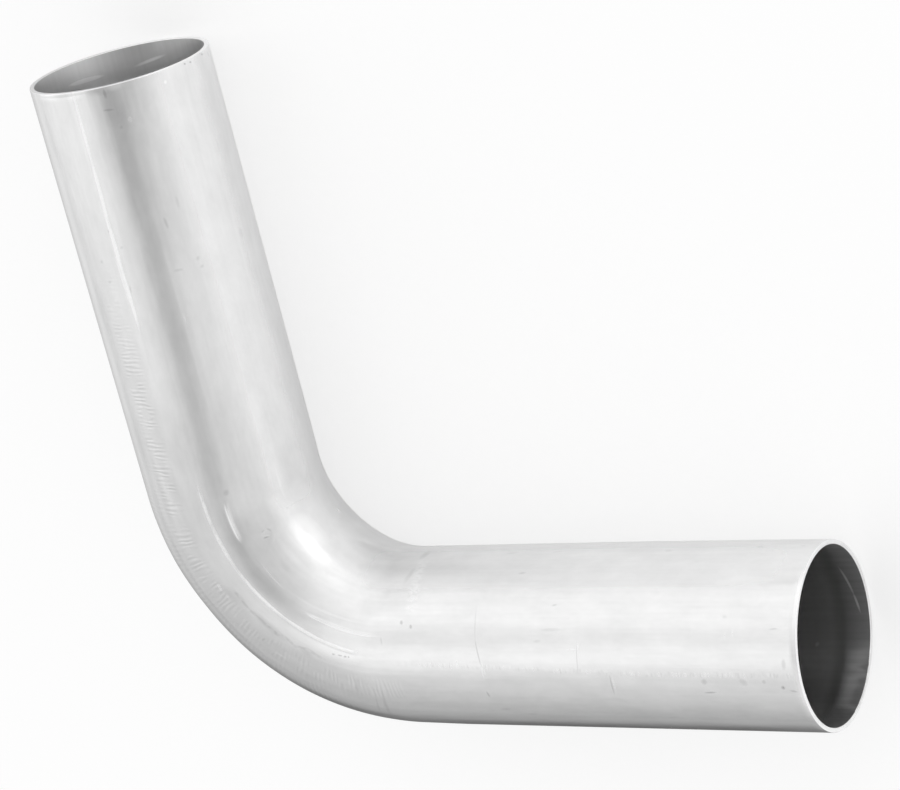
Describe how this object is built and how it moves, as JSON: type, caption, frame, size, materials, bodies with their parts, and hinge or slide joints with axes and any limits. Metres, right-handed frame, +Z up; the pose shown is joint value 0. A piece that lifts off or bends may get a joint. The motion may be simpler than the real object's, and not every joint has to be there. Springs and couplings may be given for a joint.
{
  "type": "air intake tube",
  "caption": "Bent aluminium air intake tube: a plain round elbow with a straight leg each side of a tight right-angle bend and square-cut open ends for hose couplers.",
  "frame": {"origin": "on the surface that the tube lies on, under the middle of its outline", "axes": "+X along the leg that opens to +X, +Y along the leg that opens to +Y, +Z up; the tube lies on its side"},
  "size_m": [0.2532, 0.2504, 0.0635],
  "materials": {
    "raw_aluminium": "raw drawn tube, satin, with fine lines along it, bending-tool marks and light scuffs"
  },
  "bodies": {
    "root": {"intake_tube": "raw_aluminium"}
  },
  "joints": []
}
